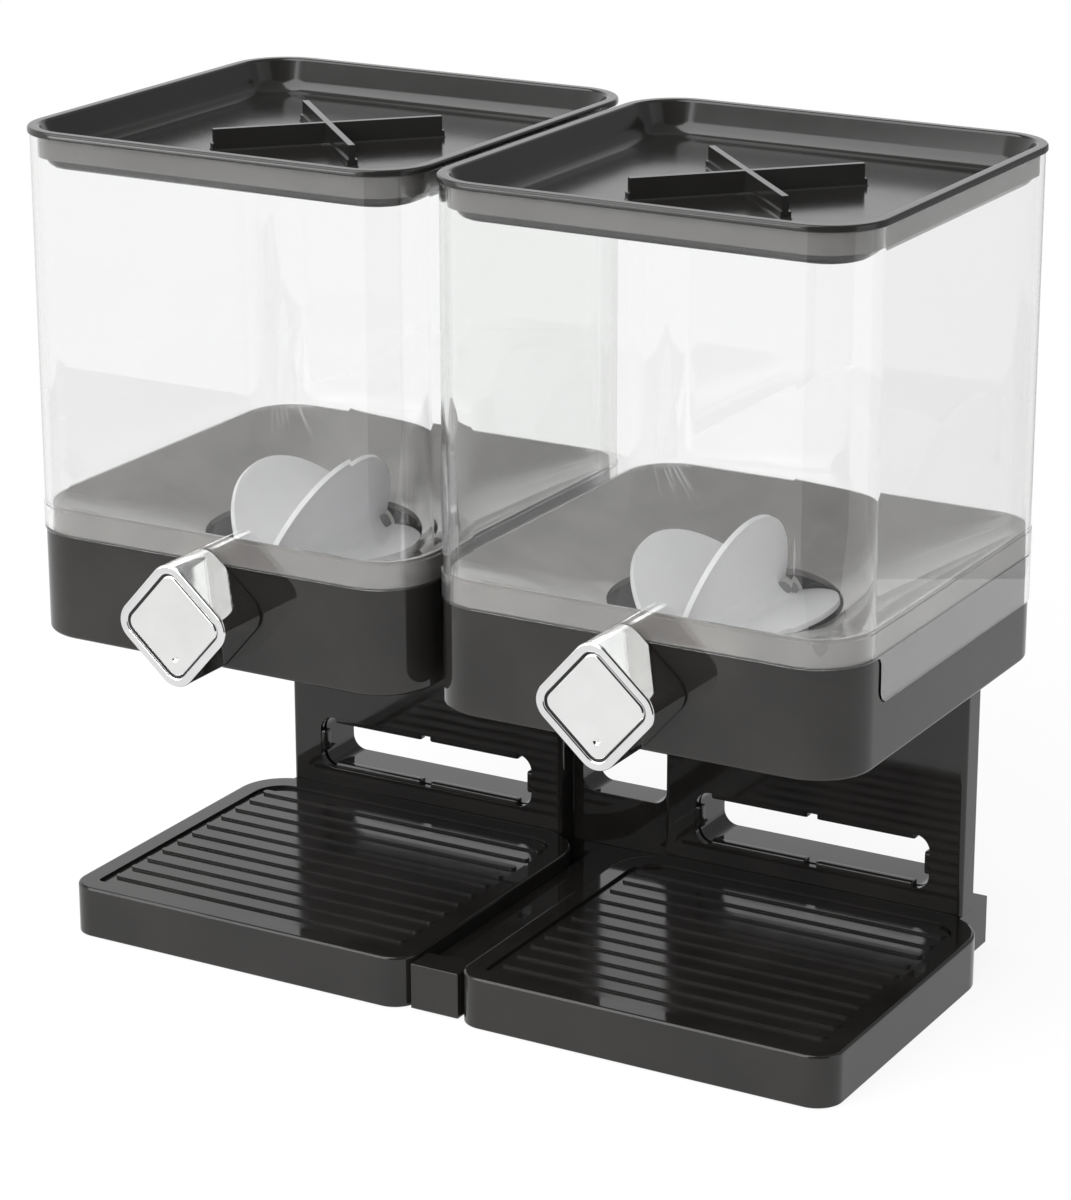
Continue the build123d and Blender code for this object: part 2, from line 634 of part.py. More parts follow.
# Panel: a recessed shell between the columns with a slot and its sleeve
panel_y = column_y + panel_setback
panel_slot_z = bridge_height + panel_slot_rise + panel_slot_height / 2
panel_slot_width = 2 * rear_x - 2 * panel_slot_margin
with BuildPart() as centre_panel:
    block((-rear_x, rear_x), (panel_y, back_y), (bridge_height, house_low - cover_gap))
    hollow_x = rear_x - column_wall
    block((-hollow_x, hollow_x), (panel_y + column_wall, back_y),
          (bridge_height + column_wall, house_low - cover_gap - column_wall), mode=Mode.SUBTRACT)
    window(panel_slot_width + 2 * sleeve_thick, panel_slot_height + 2 * sleeve_thick,
           slot_corner + sleeve_thick, panel_slot_z, panel_y, back_y)
    window(panel_slot_width, panel_slot_height, slot_corner, panel_slot_z, panel_y, back_y,
           mode=Mode.SUBTRACT)

# Wheels: soft half-round vanes that run into one another round the hub, each wheel at its own angle
wheels = {}
vane_radius = bowl_radius - vane_gap
vane_pitch = 360 / vane_count
spread = sin(radians(vane_pitch / 2))
web_round = (hub_radius + hub_gap + web_wall - vane_thick / 2 / spread) / (1 / spread - 1)
web_reach = (web_round + vane_thick) / tan(radians(vane_pitch / 2))
for side, first in wheel_angles.items():
    with BuildPart() as wheels[side]:
        with BuildSketch(facing(hub_front, axis_z)) as web:
            with PolarLocations(0, vane_count, start_angle=-first):
                Rectangle(web_reach, vane_thick, align=(Align.MIN, Align.CENTER))
            fillet(web.vertices().sort_by_distance((0, 0))[:vane_count], web_round)
        extrude(amount=hub_length)
        for count in range(vane_count):
            turn = radians(first + count * vane_pitch)
            vane_plane = Plane(origin=(0, bowl_y, axis_z), x_dir=(0, 1, 0), z_dir=(sin(turn), 0, -cos(turn)))
            with BuildSketch(vane_plane):
                Circle(vane_radius)
                Rectangle(2 * vane_radius, vane_radius, align=(Align.CENTER, Align.MAX), mode=Mode.SUBTRACT)
            extrude(amount=vane_thick / 2, both=True)
        rod(hub_radius + hub_gap, 0, axis_z, bowl_y - vane_radius, bowl_y + vane_radius, mode=Mode.SUBTRACT)

# Screws and rubber pads, each kind a group of separate solids over both units
unit_places = {"left": -unit_pitch / 2, "right": unit_pitch / 2}
with BuildPart() as cover_screws:
    for centre in unit_places.values():
        for x in (centre - cover_screw_x, centre + cover_screw_x):
            for z in (seat_z + cover_screw_low, seat_z + cover_screw_high):
                rod(screw_head, x, z, head_seat, head_seat + screw_head_thick)
                screw_tip = cover_front - screw_grip / 3
                rod(screw_radius, x, z, screw_tip, head_seat)

with BuildPart() as housing_screws:
    for centre in unit_places.values():
        for x in (centre - post_x, centre + post_x):
            for y in (-post_y, post_y):
                post(screw_head, x, y, house_low, house_low + screw_head_thick)
                post(screw_radius, x, y, house_low, house_low + house_floor + screw_grip)

with BuildPart() as rubber_feet:
    for centre in unit_places.values():
        for x, y in front_pads + rear_pads:
            post(pad_radius, centre + x, y, 0, pad_thick)

# Each unit's pieces are written twice, once for each side, and the foot is mirrored
unit_pieces = {"lid": lid, "canister": canister, "housing": housing, "hopper": hopper, "bowl": bowl,
               "front_bush": front_bush, "rear_bush": rear_bush, "drive_shaft": drive_shaft,
               "shaft_clip": shaft_clip, "wheel_hub": wheel_hub, "knob_shell": knob_shell,
               "knob_face": knob_face, "knob_core": knob_core, "column": column,
               "column_cover": column_cover, "crumb_tray": crumb_tray}
shared_pieces = {"centre_bridge": centre_bridge, "centre_panel": centre_panel,
                 "cover_screws": cover_screws, "housing_screws": housing_screws,
                 "rubber_feet": rubber_feet}
feet = {"left": mirror(foot.part, about=Plane.YZ), "right": foot.part}

os.makedirs("parts", exist_ok=True)
for side, centre in unit_places.items():
    place = Location((centre, plan_y, 0))
    pieces = {name: piece.part for name, piece in unit_pieces.items()}
    pieces["foot"] = feet[side]
    pieces["paddle_wheel"] = wheels[side].part
    for name, solid in pieces.items():
        placed = solid.moved(place)
        placed.label = f"{side}_{name}"
        export_step(placed, f"parts/{side}_{name}.step")
for name, piece in shared_pieces.items():
    placed = piece.part.moved(Location((0, plan_y, 0)))
    placed.label = name
    export_step(placed, f"parts/{name}.step")
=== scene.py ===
import json
from itertools import product
from math import cos, pi, radians, sin

import bmesh
import bpy
from mathutils import Euler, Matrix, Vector

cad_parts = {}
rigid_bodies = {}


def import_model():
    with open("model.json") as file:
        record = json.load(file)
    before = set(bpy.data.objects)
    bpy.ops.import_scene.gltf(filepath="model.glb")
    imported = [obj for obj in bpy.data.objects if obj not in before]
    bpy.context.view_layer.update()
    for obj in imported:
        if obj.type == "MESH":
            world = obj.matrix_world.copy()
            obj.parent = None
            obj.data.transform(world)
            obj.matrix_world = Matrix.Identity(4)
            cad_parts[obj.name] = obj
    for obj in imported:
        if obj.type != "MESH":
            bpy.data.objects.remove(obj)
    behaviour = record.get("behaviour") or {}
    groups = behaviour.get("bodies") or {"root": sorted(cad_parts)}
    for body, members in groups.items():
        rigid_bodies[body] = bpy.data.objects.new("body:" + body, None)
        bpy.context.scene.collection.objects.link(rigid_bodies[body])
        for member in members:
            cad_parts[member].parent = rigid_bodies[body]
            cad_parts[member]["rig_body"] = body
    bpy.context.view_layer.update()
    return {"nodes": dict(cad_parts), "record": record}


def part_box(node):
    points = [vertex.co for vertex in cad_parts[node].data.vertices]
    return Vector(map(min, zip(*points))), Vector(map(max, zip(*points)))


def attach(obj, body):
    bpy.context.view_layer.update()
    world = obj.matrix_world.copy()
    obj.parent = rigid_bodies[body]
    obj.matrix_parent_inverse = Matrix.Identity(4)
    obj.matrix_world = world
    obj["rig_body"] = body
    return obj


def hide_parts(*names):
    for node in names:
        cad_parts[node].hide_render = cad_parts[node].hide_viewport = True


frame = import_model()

scene = bpy.context.scene
MM = 0.001
MICRON = 0.000001
SIDES = ("left", "right")
SLOT_OF = {part["node"]: part["material_slot"] for part in frame["record"]["subparts"]}


# Node helpers

def node_math(tree, operation, *values):
    """A math node whose inputs are sockets or plain numbers."""
    node = tree.nodes.new("ShaderNodeMath")
    node.operation = operation
    for socket, value in zip(node.inputs, values):
        if isinstance(value, bpy.types.NodeSocket):
            tree.links.new(value, socket)
        else:
            socket.default_value = value
    return node.outputs[0]


def spread(tree, value, low, high, start=0.3, end=0.7):
    """A value brought from one range, by default where most of a noise lies, to another."""
    node = tree.nodes.new("ShaderNodeMapRange")
    for name, number in (("From Min", start), ("From Max", end), ("To Min", low), ("To Max", high)):
        node.inputs[name].default_value = number
    tree.links.new(value, node.inputs["Value"])
    return node.outputs["Result"]


def noise(tree, scale, detail=3.0, stretch=(1.0, 1.0, 1.0)):
    """The value of a noise with so many features to the metre."""
    coords = tree.nodes.new("ShaderNodeTexCoord")
    mapping = tree.nodes.new("ShaderNodeMapping")
    mapping.inputs["Scale"].default_value = stretch
    tree.links.new(coords.outputs["Object"], mapping.inputs["Vector"])
    node = tree.nodes.new("ShaderNodeTexNoise")
    node.inputs["Scale"].default_value = scale
    node.inputs["Detail"].default_value = detail
    tree.links.new(mapping.outputs["Vector"], node.inputs["Vector"])
    return node.outputs["Fac"]


def height_of(tree, coordinates):
    """The Z of a kind of texture coordinates."""
    coords = tree.nodes.new("ShaderNodeTexCoord")
    parts = tree.nodes.new("ShaderNodeSeparateXYZ")
    tree.links.new(coords.outputs[coordinates], parts.inputs["Vector"])
    return parts.outputs["Z"]


def shader_input(tree, name):
    return tree.nodes["Principled BSDF"].inputs[name]


# Material helpers

def principled(name, colour, roughness, metallic=0.0, ior=1.5):
    """A material with its uniform values on the shader's own sockets, and its node tree."""
    mat = bpy.data.materials.new(name)
    mat.use_nodes = True
    tree = mat.node_tree
    shader_input(tree, "Base Color").default_value = (*colour, 1.0)
    shader_input(tree, "Roughness").default_value = roughness
    shader_input(tree, "Metallic").default_value = metallic
    shader_input(tree, "IOR").default_value = ior
    return mat, tree


def toned(colour, tone):
    return tuple(channel * tone for channel in colour)


def tint(tree, scale, dark, light):
    """Patches of colour between two tones, so many to the metre."""
    node = tree.nodes.new("ShaderNodeMix")
    node.data_type = "RGBA"
    node.inputs["A"].default_value = (*dark, 1.0)
    node.inputs["B"].default_value = (*light, 1.0)
    tree.links.new(spread(tree, noise(tree, scale), 0.0, 1.0), node.inputs["Factor"])
    tree.links.new(node.outputs["Result"], shader_input(tree, "Base Color"))


def roughen(tree, low, high, scale, detail, start=0.3, end=0.7):
    """Patches of roughness between two values."""
    value = spread(tree, noise(tree, scale, detail), low, high, start, end)
    tree.links.new(value, shader_input(tree, "Roughness"))


def relief(tree, *layers):
    """Bump layers, each a texture value and a height in metres, stacked on one another."""
    normal = None
    for value, height in layers:
        node = tree.nodes.new("ShaderNodeBump")
        node.inputs["Strength"].default_value = 1.0
        node.inputs["Distance"].default_value = height
        tree.links.new(value, node.inputs["Height"])
        if normal:
            tree.links.new(normal, node.inputs["Normal"])
        normal = node.outputs["Normal"]
    tree.links.new(normal, shader_input(tree, "Normal"))


# Materials

GLOSS_PLAIN = (0.012, 0.011, 0.0105)
GLOSS_DARK, GLOSS_LIGHT = (0.0095, 0.0088, 0.0084), (0.0150, 0.0138, 0.0130)
LID_PLAIN = (0.012, 0.0115, 0.011)
LID_DARK, LID_LIGHT = (0.0110, 0.0105, 0.0100), (0.0135, 0.0130, 0.0125)
SILICONE_PLAIN = (0.84, 0.825, 0.85)
SILICONE_DARK, SILICONE_LIGHT = (0.92, 0.905, 0.925), (0.955, 0.945, 0.96)
CLEAR_PLAIN, CLEAR_DEPTH, CLEAR_DENSITY = (0.992, 0.995, 0.992), (0.02, 0.06, 0.03, 1.0), 11.0


def make_gloss(name, low_rough, high_rough, wave, tone=1.0, ior=1.5):
    """Polished moulded black with slight sink waves, fine orange peel and faint dust haze."""
    mat, tree = principled(name, GLOSS_PLAIN, low_rough, ior=ior)
    tint(tree, 35.0, toned(GLOSS_DARK, tone), toned(GLOSS_LIGHT, tone))
    roughen(tree, low_rough, high_rough, scale=90.0, detail=6.0)
    relief(tree, (noise(tree, 45.0, 1.0), wave), (noise(tree, 700.0, 2.0), 2.2 * MICRON))
    return mat


def make_lid_black(name, tone=1.0):
    """Satin moulded black with a fine spark-eroded grain."""
    mat, tree = principled(name, LID_PLAIN, 0.15, ior=1.52)
    tint(tree, 28.0, toned(LID_DARK, tone), toned(LID_LIGHT, tone))
    roughen(tree, 0.14, 0.165, scale=120.0, detail=4.0)
    relief(tree, (noise(tree, 30.0, 1.0), 6 * MICRON), (noise(tree, 4200.0, 2.0), 1.8 * MICRON))
    return mat


def make_clear(band_low, band_high):
    """Clear moulded plastic with faint flow waves, handling haze and a slightly milky foot band."""
    mat, tree = principled("clear_moulded", CLEAR_PLAIN, 0.0, ior=1.57)
    fade = 0.4 * MM
    height = height_of(tree, "Object")
    below = spread(tree, height, 1.0, 0.0, band_high - fade, band_high)
    above = spread(tree, height, 0.0, 1.0, band_low, band_low + fade)
    clearness = spread(tree, node_math(tree, "MULTIPLY", below, above), 1.0, 0.975, 0.0, 1.0)
    tree.links.new(clearness, shader_input(tree, "Transmission Weight"))
    roughen(tree, 0.0, 0.02, scale=30.0, detail=5.0, start=0.45, end=0.8)
    relief(tree, (noise(tree, 22.0, 1.0, stretch=(1.0, 1.0, 0.35)), 30 * MICRON))
    depth = tree.nodes.new("ShaderNodeVolumeAbsorption")
    depth.inputs["Color"].default_value = CLEAR_DEPTH
    depth.inputs["Density"].default_value = CLEAR_DENSITY
    tree.links.new(depth.outputs["Volume"], tree.nodes["Material Output"].inputs["Volume"])
    return mat


def make_silicone():
    """Soft white silicone that lets some light through."""
    mat, tree = principled("white_silicone", SILICONE_PLAIN, 0.42, ior=1.42)
    tint(tree, 40.0, SILICONE_DARK, SILICONE_LIGHT)
    roughen(tree, 0.36, 0.5, scale=160.0, detail=4.0)
    relief(tree, (noise(tree, 1500.0, 2.0), 6 * MICRON))
    shader_input(tree, "Subsurface Weight").default_value = 0.6
    shader_input(tree, "Subsurface Radius").default_value = (1.0, 0.95, 1.0)
    shader_input(tree, "Subsurface Scale").default_value = 3 * MM
    return mat


def make_metal(name, colour, low_rough, high_rough, wave):
    """Plated or bare metal with light handling marks."""
    mat, tree = principled(name, colour, low_rough, metallic=1.0)
    tint(tree, 60.0, toned(colour, 0.93), colour)
    roughen(tree, low_rough, high_rough, scale=220.0, detail=5.0)
    relief(tree, (noise(tree, 55.0, 1.0), wave), (noise(tree, 2600.0, 2.0), 1.2 * MICRON))
    return mat


def make_matte(name, dark, light, rough, grain=10 * MICRON):
    """Plain moulded plastic or rubber with a fine grain."""
    mat, tree = principled(name, dark, rough)
    tint(tree, 70.0, dark, light)
    roughen(tree, rough - 0.06, rough + 0.08, scale=300.0, detail=4.0)
    relief(tree, (noise(tree, 2200.0, 3.0), grain))
    return mat


HOUSE_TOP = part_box("right_housing")[1].z
BAND_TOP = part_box("right_hopper")[1].z
LOOKS = {
    "gloss_black": make_gloss("gloss_black_moulded", 0.035, 0.085, wave=50 * MICRON),
    "tray_black": make_gloss("tray_black_moulded", 0.09, 0.15, wave=30 * MICRON),
    "lid_black": make_lid_black("lid_satin_black"),
    "clear_plastic": make_clear(HOUSE_TOP, BAND_TOP),
    "white_silicone": make_silicone(),
    "chrome": make_metal("bright_plating", (0.86, 0.865, 0.86), 0.02, 0.06, wave=20 * MICRON),
    "knob_face_chrome": make_metal("satin_plating", (0.91, 0.915, 0.905), 0.08, 0.16, wave=20 * MICRON),
    "screw_steel": make_metal("zinc_steel", (0.56, 0.56, 0.55), 0.25, 0.42, wave=10 * MICRON),
    "core_black": make_matte("core_black_moulded", (0.017, 0.017, 0.017), (0.024, 0.024, 0.024), 0.45),
    "bush_white": make_matte("bush_natural", (0.70, 0.69, 0.64), (0.77, 0.76, 0.71), 0.40),
    "shaft_grey": make_matte("shaft_grey_moulded", (0.32, 0.32, 0.33), (0.38, 0.38, 0.39), 0.42),
    "pad_rubber": make_matte("pad_black_rubber", (0.017, 0.017, 0.017), (0.026, 0.026, 0.025), 0.72,
                             grain=30 * MICRON),
}
# Painted light: copies of the blacks made 15 and 11 times lighter in colour, standing in for the light that
# the clear walls in front add to the hopper and the lid's skirt
hopper_painted_light = make_gloss("hopper_black_painted_light", 0.06, 0.12, wave=50 * MICRON, tone=15.0, ior=1.7)
skirt_painted_light = make_lid_black("lid_skirt_painted_light", tone=11.0)


# Piece helpers

WELD = 0.002                          # mm between points that are one
FLAT_ANGLE, SOLID_ANGLE = 0.4, 32     # degrees at which a solid's faces are one flat, and meet sharply


def look_of(node):
    # the hopper takes the lightened black, which is painted light from the clear walls in front
    return hopper_painted_light if node.endswith("_hopper") else LOOKS[SLOT_OF[node]]


def new_piece(bm, name, node, stands_in=True):
    """A new object with the body and finish of a node, which it stands for or adds to."""
    mesh = bpy.data.meshes.new(name)
    bm.to_mesh(mesh)
    bm.free()
    mesh.materials.append(look_of(node))
    mesh.shade_smooth()
    obj = bpy.data.objects.new(name, mesh)
    scene.collection.objects.link(obj)
    if stands_in:
        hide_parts(node)
    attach(obj, frame["nodes"][node]["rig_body"])
    return obj


def soften(obj, width, segments, angle):
    """Rounded edges where faces meet sharply, with flat faces kept flat."""
    edge = obj.modifiers.new("edge", "BEVEL")
    edge.width = width * MM
    edge.segments = segments
    edge.limit_method = "ANGLE"
    edge.angle_limit = radians(angle)
    edge.use_clamp_overlap = True
    edge.miter_outer = "MITER_ARC"
    weigh = obj.modifiers.new("weigh", "WEIGHTED_NORMAL")
    weigh.mode = "FACE_AREA"
    weigh.weight = 50
    weigh.keep_sharp = False


def dress(bm, node, width, segments, angle, second=None):
    """The piece for a node from a mesh made here, with rounded edges and maybe a second material."""
    bmesh.ops.recalc_face_normals(bm, faces=bm.faces)
    obj = new_piece(bm, f"{node}_dressed", node)
    if second:
        obj.data.materials.append(second)
    soften(obj, width, segments, angle)


def solid_mesh(node, reshape=None):
    """A copy of a solid's mesh, with its seams closed."""
    bm = bmesh.new()
    bm.from_mesh(frame["nodes"][node].data)
    if reshape:
        reshape(bm)
    bmesh.ops.remove_doubles(bm, verts=bm.verts, dist=WELD * MM)
    return bm


def dress_solid(node, width, segments=2, reshape=None):
    """The piece for a node from its own solid, with its flats joined and its edges rounded."""
    bm = solid_mesh(node, reshape)
    bmesh.ops.dissolve_limit(bm, angle_limit=radians(FLAT_ANGLE), verts=bm.verts, edges=bm.edges)
    soften(new_piece(bm, f"{node}_dressed", node), width, segments, SOLID_ANGLE)


def millimetres(node):
    """A node's lowest and highest corners, its middle and its size, in millimetres."""
    low, high = (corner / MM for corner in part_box(node))
    return low, high, (low + high) / 2, high - low


# Shape helpers

CORNER_STEPS, CURVE_STEPS = 10, 5


def outline(width, depth, corner, inset):
    """Points anticlockwise round a rounded rectangle that is set in all round."""
    points = []
    radius = corner - inset
    for quarter, (side_x, side_y) in enumerate(((1, 1), (-1, 1), (-1, -1), (1, -1))):
        centre_x = side_x * (width / 2 - corner)
        centre_y = side_y * (depth / 2 - corner)
        for step in range(CORNER_STEPS + 1):
            turn = pi / 2 * (quarter + step / CORNER_STEPS)
            points.append((centre_x + radius * cos(turn), centre_y + radius * sin(turn)))
    return points


def circle(radius, count, x=0.0, y=0.0):
    turns = [2 * pi * i / count for i in range(count)]
    return [(x + radius * cos(turn), y + radius * sin(turn)) for turn in turns]


def cross_outline(angle, length, thick):
    """Points anticlockwise round two crossed bars at plus and minus an angle."""
    points = []
    turns = [angle, pi - angle, pi + angle, 2 * pi - angle]
    for i, turn in enumerate(turns):
        along = Vector((cos(turn), sin(turn)))
        aside = Vector((-sin(turn), cos(turn)))
        points.append(along * length / 2 - aside * thick / 2)
        points.append(along * length / 2 + aside * thick / 2)
        half_gap = ((turns[(i + 1) % 4] - turn) % (2 * pi)) / 2
        points.append(Vector((cos(turn + half_gap), sin(turn + half_gap))) * (thick / 2 / sin(half_gap)))
    return points


def rounded_path(*corners):
    """A line through corners of (inset, level, rounding), with each corner rounded by a curve."""
    points = []
    spots = [Vector(corner[:2]) for corner in corners]
    for i, (_, _, rounding) in enumerate(corners):
        if rounding == 0:
            points.append(spots[i])
            continue
        start = spots[i] + (spots[i - 1] - spots[i]).normalized() * rounding
        end = spots[i] + (spots[i + 1] - spots[i]).normalized() * rounding
        for step in range(CURVE_STEPS + 1):
            t = step / CURVE_STEPS
            points.append(start * (1 - t) ** 2 + spots[i] * 2 * t * (1 - t) + end * t**2)
    return points


def ring_of(bm, points, place, level):
    """New mesh points on one level, with place giving their spot in millimetres."""
    return [bm.verts.new(place(x, y, level) * MM) for x, y in points]


def skin(bm, rings):
    """Faces between one ring of points and the next."""
    for low, high in zip(rings, rings[1:]):
        for i in range(len(low)):
            j = (i + 1) % len(low)
            bm.faces.new((low[i], low[j], high[j], high[i]))


def close(bm, rings):
    """A face over the first and the last ring."""
    bm.faces.new(rings[0])
    bm.faces.new(rings[-1])


def sweep(bm, width, depth, corner, path, place):
    """A skin round a rounded rectangle along a path of (inset, level). Returns its rings."""
    rings = [ring_of(bm, outline(width, depth, corner, inset), place, level) for inset, level in path]
    skin(bm, rings)
    return rings


def paint(bm, rings):
    """The second material on the faces between these rings."""
    painted = {vert for ring in rings for vert in ring}
    for face in bm.faces:
        face.material_index = int(all(vert in painted for vert in face.verts))


def join_loops(bm, outer, inner):
    """Faces between two rings of unlike counts."""
    edges = []
    for ring in (outer, inner):
        pairs = [(ring[i - 1], ring[i]) for i in range(len(ring))]
        edges += [bm.edges.get(pair) or bm.edges.new(pair) for pair in pairs]
    bmesh.ops.bridge_loops(bm, edges=edges)


# Lids: a rounded flange, a skirt, a pan with a coved edge and a grip of crossed plates on thicker strips

LID_CORNER, FLANGE, PAN_FLOOR = 22.0, 2.4, 2.0
RIM, PAN_EDGE, PAN_COVE = 4.2, 9.4, 5.5
SKIRT_INSET, SKIRT_BAND, SKIRT_FOOT, SKIRT_INNER, SKIRT_DEPTH = 3.55, 0.3, 4.95, 5.15, 8.0
UNDER_EDGE, UNDER_COVE, UNDER_RISE = 7.4, 3.0, 3.0
PAN_CAP, UNDER_CAP = 16.0, 14.0
GRIP_ANGLE, GRIP_LENGTH, GRIP_THICK = radians(46), 85.0, 2.4
GRIP_STEPS = ((-0.4, 5.2), (0.0, 4.6), (0.5, 3.8), (2.6, 3.8), (2.6, GRIP_THICK), (7.8, GRIP_THICK))


def dress_lid(node):
    """A lid with its skirt's outside in a lighter black, which is painted light from the clear wall in front.
    """
    low, high, mid, size = millimetres(node)
    top, seat, pan = high.z, high.z - FLANGE, low.z + PAN_FLOOR
    skirt_low = seat - SKIRT_DEPTH

    def place(x, y, z):
        return Vector((mid.x + x, mid.y + y, z))

    path = rounded_path(
        (PAN_CAP, pan, 0), (PAN_EDGE, pan, PAN_COVE), (RIM, top, 1.0), (0.0, top, 1.0), (0.0, seat, 0.5),
        (SKIRT_INSET, seat, 0.2), (SKIRT_INSET, skirt_low, 0.5), (SKIRT_FOOT, skirt_low, 0.4),
        (SKIRT_INNER, skirt_low + UNDER_RISE, 0.3), (UNDER_EDGE, low.z, UNDER_COVE), (UNDER_CAP, low.z, 0))
    bm = bmesh.new()
    rings = sweep(bm, size.x, size.y, LID_CORNER, path, place)
    close(bm, rings)
    skirt = [ring for ring, spot in zip(rings, path)
             if abs(spot.x - SKIRT_INSET) < SKIRT_BAND and spot.y < seat]
    # the skirt's outside takes the lightened black, which is painted light from the clear wall in front
    paint(bm, skirt)
    grip = []
    for level, thick in GRIP_STEPS:
        points = cross_outline(GRIP_ANGLE, GRIP_LENGTH + thick - GRIP_THICK, thick)
        grip.append(ring_of(bm, points, place, pan + level))
    skin(bm, grip)
    close(bm, grip)
    dress(bm, node, width=0.3, segments=3, angle=34, second=skirt_painted_light)


# Knobs: a bright cup with a broad rounded rim, and a face plate with a sloped edge and a dimple

KNOB_TURN = radians(41.5)
KNOB_SIDE, KNOB_CORNER, KNOB_WALL, KNOB_FRONT = 36.5, 8.0, 1.6, 3.0
KNOB_RIM, KNOB_RECESS, KNOB_CAP = 3.2, 1.4, 7.4
RECESS_RINGS = CURVE_STEPS + 3        # the rim's last ring, the curve at the recess's foot and the cap
PLATE_SIDE, PLATE_CORNER, PLATE_SLOPE, PLATE_CAP = 29.2, 4.35, 0.8, 3.5
DIMPLE_SPOT, DIMPLE_POINTS = 8.49, 24
DIMPLE = ((1.45, 0.0), (1.3, 0.06), (1.05, 0.28), (0.7, 0.46), (0.3, 0.55))     # radius and depth


def knob_place(node):
    """A way to place points on a turned knob, from its front backwards, and its length."""
    low, high, mid, size = millimetres(node)

    def place(x, y, depth):
        across = x * cos(KNOB_TURN) - y * sin(KNOB_TURN)
        down = x * sin(KNOB_TURN) + y * cos(KNOB_TURN)
        return Vector((mid.x + across, low.y + depth, mid.z - down))

    return place, size.y


def dress_knob_shell(node):
    """A cup whose recess in front, for the face plate, is painted black as painted shade in the gap round the
    plate.
    """
    place, length = knob_place(node)
    path = rounded_path(
        (KNOB_CAP, KNOB_FRONT, 0), (KNOB_WALL, KNOB_FRONT, 0.6), (KNOB_WALL, length, 0.3), (0.0, length, 0.5),
        (0.0, 0.0, 0.9), (KNOB_RIM, 0.0, 0.7), (KNOB_RIM, KNOB_RECESS, 0.25), (KNOB_CAP, KNOB_RECESS, 0))
    bm = bmesh.new()
    rings = sweep(bm, KNOB_SIDE, KNOB_SIDE, KNOB_CORNER, path, place)
    close(bm, rings)
    # painted shade: the recess's floor and walls take the matte black core look, so the gap round the face
    # plate reads dark
    paint(bm, rings[-RECESS_RINGS:])
    dress(bm, node, width=0.1, segments=1, angle=60, second=LOOKS["core_black"])


def dress_knob_face(node):
    """A plate with a dimple near its lowest corner."""
    place, thick = knob_place(node)
    path = rounded_path(
        (PLATE_CAP, thick, 0), (0.0, thick, 0.2), (0.1, thick - 0.25, 0.1),
        (PLATE_SLOPE, 0.0, 0.3), (PLATE_CAP, 0.0, 0))
    bm = bmesh.new()
    rings = sweep(bm, PLATE_SIDE, PLATE_SIDE, PLATE_CORNER, path, place)
    dimple = [ring_of(bm, circle(radius, DIMPLE_POINTS, DIMPLE_SPOT, DIMPLE_SPOT), place, depth)
              for radius, depth in DIMPLE]
    skin(bm, dimple)
    bm.faces.new(rings[0])
    bm.faces.new(dimple[-1])
    join_loops(bm, rings[-1], dimple[0])
    dress(bm, node, width=0.05, segments=1, angle=75)


# Screws: pan heads with a cross recess on tapered shanks

HEAD_POINTS, HEAD_DEPTH, TIP_LENGTH = 32, 1.6, 1.6
HEAD_CURVE = ((0.62, 0.0), (0.8, 0.1), (0.93, 0.38), (1.0, 0.85))     # share of the head's radius, and depth
SHANK_SHARE, TIP_SHARE = 0.5, 0.12
CROSS_LENGTH, CROSS_WIDTH = 2.9, 0.75
CROSS_TAPER = ((1.0, 0.0), (0.92, 0.15), (0.7, 0.85))                 # share of the cross, and depth


def islands(node):
    """The lowest and highest corners of each separate solid of a node, in millimetres."""
    bm = solid_mesh(node)
    left = set(bm.verts)
    found = []
    while left:
        stack = [left.pop()]
        group = list(stack)
        while stack:
            for edge in stack.pop().link_edges:
                for vert in edge.verts:
                    if vert in left:
                        left.remove(vert)
                        stack.append(vert)
                        group.append(vert)
        low = Vector([min(v.co[k] for v in group) for k in range(3)]) / MM
        high = Vector([max(v.co[k] for v in group) for k in range(3)]) / MM
        found.append((low, high))
    bm.free()
    return sorted(found, key=lambda pair: tuple(pair[0]))


def add_screw(bm, low, high, head_at_back):
    """One screw within a box, its head at the back or below."""
    mid = (low + high) / 2
    radius = (high.x - low.x) / 2
    length = high.y - low.y if head_at_back else high.z - low.z

    def place(x, y, depth):
        if head_at_back:
            return Vector((mid.x + x, high.y - depth, mid.z + y))
        return Vector((mid.x + x, mid.y + y, low.z + depth))

    shank = ((1.0, HEAD_DEPTH), (SHANK_SHARE, HEAD_DEPTH),
             (SHANK_SHARE, length - TIP_LENGTH), (TIP_SHARE, length))
    rings = []
    for share, depth in HEAD_CURVE + shank:
        rings.append(ring_of(bm, circle(radius * share, HEAD_POINTS), place, depth))
    skin(bm, rings)
    bm.faces.new(rings[-1])
    recess = []
    for share, depth in CROSS_TAPER:
        cross = cross_outline(pi / 4, CROSS_LENGTH * share, CROSS_WIDTH * share)
        recess.append(ring_of(bm, cross, place, depth))
    skin(bm, recess)
    bm.faces.new(recess[-1])
    join_loops(bm, rings[0], recess[0])


def dress_screws(node, head_at_back):
    bm = bmesh.new()
    for low, high in islands(node):
        add_screw(bm, low, high, head_at_back)
    dress(bm, node, width=0.06, segments=2, angle=50)


# Slots: rounded rails along the lip, with gaps at the corners and in the middle

SLOT_MARGIN, SLOT_HEIGHT, SLOT_RISE = 13.4, 21.5, 18.0
RAIL_FRONT, RAIL_BACK, RAIL_REACH, RAIL_ROOT = 0.25, 4.0, 2.35, 1.6
CORNER_GAP, MIDDLE_GAP = 6.3, 4.0
BAR_FACES = ((0, 1, 3, 2), (4, 6, 7, 5), (0, 4, 5, 1), (2, 3, 7, 6), (0, 2, 6, 4), (1, 5, 7, 3))


def add_bar(bm, low, high):
    """A straight bar between two corners, in millimetres."""
    corners = [bm.verts.new(Vector(spot) * MM) for spot in product(*zip(low, high))]
    for face in BAR_FACES:
        bm.faces.new([corners[i] for i in face])


